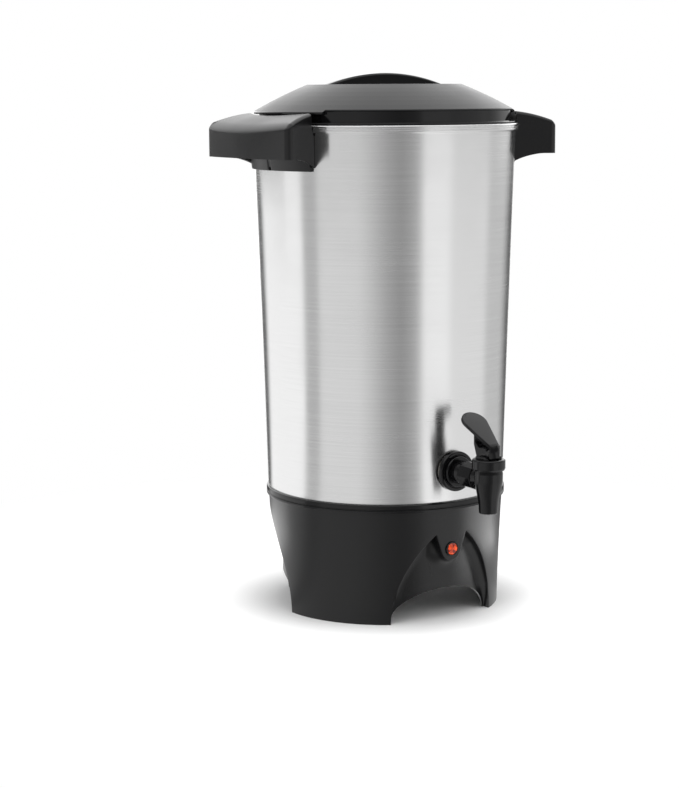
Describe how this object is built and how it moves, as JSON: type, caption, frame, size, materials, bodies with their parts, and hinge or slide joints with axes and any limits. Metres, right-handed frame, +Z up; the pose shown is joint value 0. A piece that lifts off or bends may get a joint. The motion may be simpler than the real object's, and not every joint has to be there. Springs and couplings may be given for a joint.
{
  "type": "coffee urn",
  "caption": "Tall percolating coffee urn with a brushed steel body, domed black lid, side handles, arched black base and a lever tap.",
  "frame": {"origin": "on the floor under the urn's own axis, midway between the three legs", "axes": "+Z up; the tap points along -Y; the handles lie along +X and -X"},
  "size_m": [0.2922, 0.2882, 0.4724],
  "materials": {
    "brushed_steel": "horizontally brushed",
    "bright_steel": "plain bright",
    "satin_black": "satin",
    "gloss_black": "gloss",
    "lamp_red": "translucent gloss",
    "lamp_glass": "clear",
    "aluminium": "plain",
    "silicone": "matte",
    "zinc_steel": "zinc plated",
    "brass": "plain",
    "ceramic_white": "matte",
    "dark_ceramic": "matte"
  },
  "bodies": {
    "urn": {"tank": "brushed_steel", "seam_ring": "gloss_black", "base_skirt": "satin_black", "base_drum": "satin_black", "bottom_cover": "satin_black", "bottom_cover_screws": "zinc_steel", "base_nuts": "zinc_steel", "perking_heater": "bright_steel", "keep_warm_heater": "dark_ceramic", "heater_clamp": "zinc_steel", "clamp_nut": "zinc_steel", "thermostat": "ceramic_white", "thermal_fuse": "bright_steel", "heat_shield": "aluminium", "terminal_block": "ceramic_white", "terminal_screws": "brass", "lamp_bezel": "gloss_black", "lamp_lens": "lamp_red", "lamp_tube": "lamp_glass", "handle_right": "satin_black", "handle_left": "satin_black", "inner_leads": "silicone", "handle_nuts": "zinc_steel", "tap_outer_gasket": "silicone", "tap_flange": "gloss_black", "tap_inner_gasket": "silicone", "tap_nut": "satin_black", "tap_body": "gloss_black", "tap_bonnet": "gloss_black", "tap_spring": "bright_steel"},
    "pump": {"pump_tube": "aluminium", "pump_foot": "aluminium"},
    "valve": {"pump_valve": "bright_steel"},
    "basket": {"coffee_basket": "aluminium"},
    "spreader": {"basket_lid": "aluminium"},
    "lid": {"lid_shell": "satin_black", "lid_grip": "gloss_black", "lid_grip_screws": "zinc_steel"},
    "lever": {"tap_lever": "gloss_black"},
    "stem": {"tap_stem": "bright_steel", "seat_cup": "silicone", "lever_pin": "bright_steel"}
  },
  "joints": [
    {"name": "pump_lift", "type": "slide", "parent": "urn", "child": "pump", "axis": [0, 0, 1], "range_m": [0, 0.36]},
    {"name": "valve_float", "type": "slide", "parent": "pump", "child": "valve", "axis": [0, 0, 1], "range_m": [0, 0.002]},
    {"name": "basket_lift", "type": "slide", "parent": "pump", "child": "basket", "axis": [0, 0, 1], "range_m": [0, 0.12]},
    {"name": "spreader_lift", "type": "slide", "parent": "basket", "child": "spreader", "axis": [0, 0, 1], "range_m": [0, 0.05]},
    {"name": "lid_lift", "type": "slide", "parent": "spreader", "child": "lid", "axis": [0, 0, 1], "range_m": [0, 0.15]},
    {"name": "lever_pull", "type": "hinge", "parent": "urn", "child": "lever", "pos_m": [0, -0.16405, 0.1522], "axis": [1, 0, 0], "range_deg": [0, 30], "stiffness_Nm_per_rad": 0.4, "springref_deg": -17.19},
    {"name": "stem_lift", "type": "slide", "parent": "urn", "child": "stem", "axis": [0, 0, 1], "range_m": [0, 0.0058], "deforming": ["tap_spring"]}
  ],
  "couplings": [
    {"joint": "stem_lift", "follows": "lever_pull", "m_per_rad": 0.01075}
  ]
}
